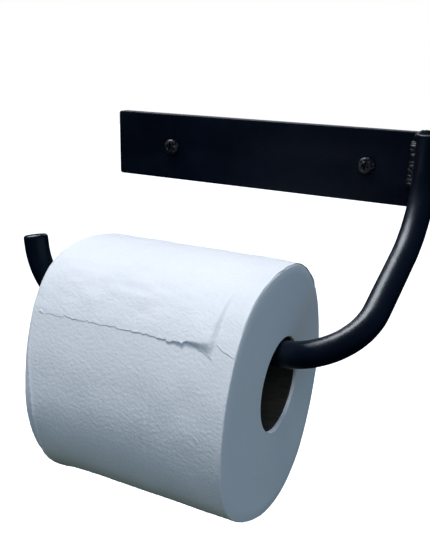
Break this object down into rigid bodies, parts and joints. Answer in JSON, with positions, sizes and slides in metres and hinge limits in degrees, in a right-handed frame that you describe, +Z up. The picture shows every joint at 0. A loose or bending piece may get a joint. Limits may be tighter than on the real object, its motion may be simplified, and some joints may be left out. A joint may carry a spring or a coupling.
{
  "type": "toilet paper holder",
  "caption": "Open-arm wall holder: a flat steel back plate with a welded bent round bar that carries a paper roll, free to turn, with an upturned end.",
  "frame": {"origin": "centre of the back plate's rear face, the face that lies on the wall", "axes": "+X along the plate towards the end the bar is welded to, +Y into the wall, +Z up; the roll is on the -Y side"},
  "size_m": [0.2032, 0.1909, 0.1697],
  "materials": {
    "plate_coat": "satin",
    "bar_coat": "satin",
    "weld_coat": "satin",
    "screw_black": "satin",
    "plug_nylon": "matte",
    "core_card": "matte",
    "roll_paper": "matte",
    "sheet_paper": "matte"
  },
  "bodies": {
    "bracket": {"back_plate": "plate_coat", "holder_arm": "bar_coat", "weld_bead_inner": "weld_coat", "weld_bead_outer": "weld_coat", "screw_left": "screw_black", "screw_right": "screw_black", "wall_plug_left": "plug_nylon", "wall_plug_right": "plug_nylon"},
    "roll": {"core_tube": "core_card", "paper_roll": "roll_paper", "tail_sheet": "sheet_paper"}
  },
  "joints": [
    {"name": "roll_spin", "type": "hinge", "parent": "bracket", "child": "roll", "pos_m": [-0.0005, -0.0964, -0.08915], "axis": [1, 0, 0], "continuous": true}
  ]
}
